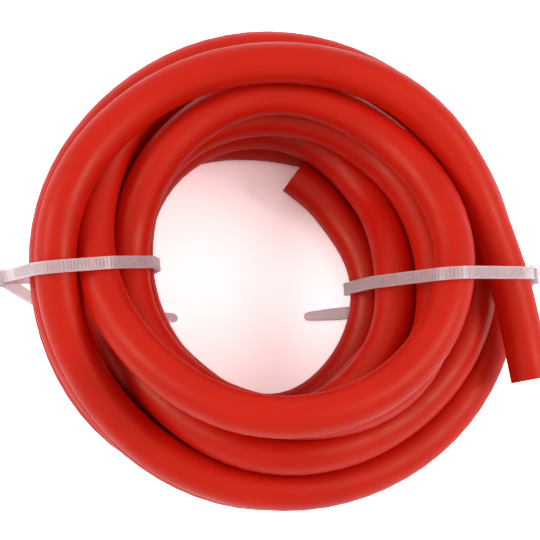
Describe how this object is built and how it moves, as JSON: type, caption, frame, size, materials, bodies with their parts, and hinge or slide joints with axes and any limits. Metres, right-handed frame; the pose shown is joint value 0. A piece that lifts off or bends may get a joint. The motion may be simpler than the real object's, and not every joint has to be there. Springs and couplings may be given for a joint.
{
  "type": "rubber vacuum tubing",
  "caption": "Coil of thick-walled rubber vacuum tubing with plain square-cut ends, held by nylon cable ties.",
  "frame": {"origin": "on the supporting surface, under the middle of the whole, about 3 mm from the coil's own axis", "axes": "+Z is the coil's axis and points up; the cable ties lie along X, the one with the standing-off head on the -X side; the tubing's outer end points towards -Y on the +X side"},
  "size_m": [0.1643, 0.1507, 0.0651],
  "materials": {
    "red_rubber": "smooth red rubber with a soft satin sheen",
    "nylon": "undyed translucent nylon"
  },
  "bodies": {
    "root": {"tubing": "red_rubber", "left_cable_tie": "nylon", "right_cable_tie": "nylon"}
  },
  "joints": []
}
